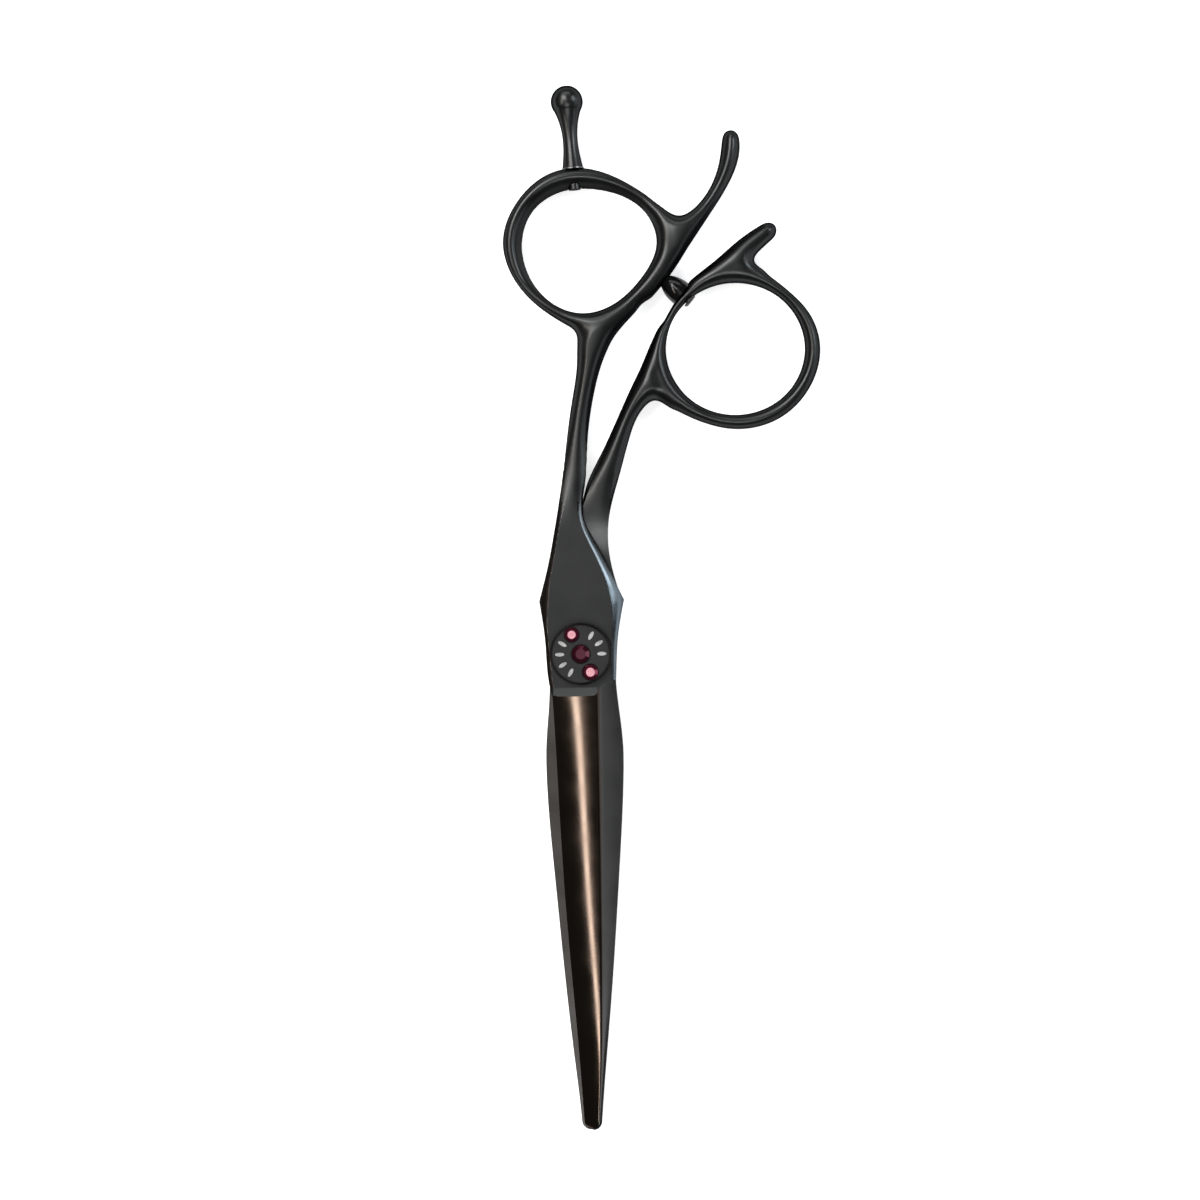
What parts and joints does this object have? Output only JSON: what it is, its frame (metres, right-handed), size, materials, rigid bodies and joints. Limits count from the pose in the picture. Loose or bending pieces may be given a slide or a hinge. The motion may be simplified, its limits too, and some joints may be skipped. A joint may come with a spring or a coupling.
{
  "type": "hair cutting shears",
  "caption": "Black salon shears with two finger rings, a screw-in finger rest, a rubber bumper and a jewelled tension dial at the pivot.",
  "frame": {"origin": "centre of the pivot bolt's flat rear head, on the pivot axis, which is also the height of the table", "axes": "+Z along the pivot axis to the dial side, +Y from the pivot towards the finger rings, -Y towards the points, +X towards the thumb ring"},
  "size_m": [0.0499, 0.1652, 0.0078],
  "materials": {
    "coated_steel": "black coated steel, satin flats and polished bevels",
    "black_rubber": "glossy",
    "grey_plastic": "matte",
    "bare_steel": "satin",
    "bearing_steel": "polished",
    "bronze": "turned",
    "dial_black": "satin black",
    "dial_face": "brushed dark grey with pale engraved leaves",
    "garnet_glass": "faceted dark red paste gem"
  },
  "bodies": {
    "finger_half": {"finger_blade": "coated_steel", "pivot_bush": "bronze", "lower_race": "bearing_steel"},
    "thumb_half": {"thumb_blade": "coated_steel", "pivot_bolt": "bare_steel", "upper_race": "bearing_steel", "click_spring": "bare_steel", "bumper": "black_rubber", "bumper_plug": "grey_plastic"},
    "ball_cage": {"bearing_cage": "bronze", "bearing_balls": "bearing_steel"},
    "dial": {"tension_dial": "dial_black", "dial_cap": "dial_face", "centre_gem": "garnet_glass", "centre_bezel": "dial_black", "upper_gem": "garnet_glass", "upper_bezel": "dial_black", "lower_gem": "garnet_glass", "lower_bezel": "dial_black"},
    "rest": {"finger_rest": "coated_steel", "finger_rest_washer": "coated_steel"}
  },
  "joints": [
    {"name": "blade_pivot", "type": "hinge", "parent": "finger_half", "child": "thumb_half", "pos_m": [0, 0, 0.003], "axis": [0, 0, -1], "range_deg": [0, 120]},
    {"name": "bearing_roll", "type": "hinge", "parent": "finger_half", "child": "ball_cage", "pos_m": [0, 0, 0.0049], "axis": [0, 0, -1], "range_deg": [0, 60]},
    {"name": "dial_turn", "type": "hinge", "parent": "thumb_half", "child": "dial", "pos_m": [0, 0, 0.0055], "axis": [0, 0, 1], "range_deg": [-90, 180]},
    {"name": "rest_unscrew", "type": "slide", "parent": "finger_half", "child": "rest", "axis": [-0.068, 0.9977, 0], "range_m": [0, 0.006]}
  ],
  "couplings": [
    {"joint": "bearing_roll", "follows": "blade_pivot", "ratio": 0.5}
  ]
}
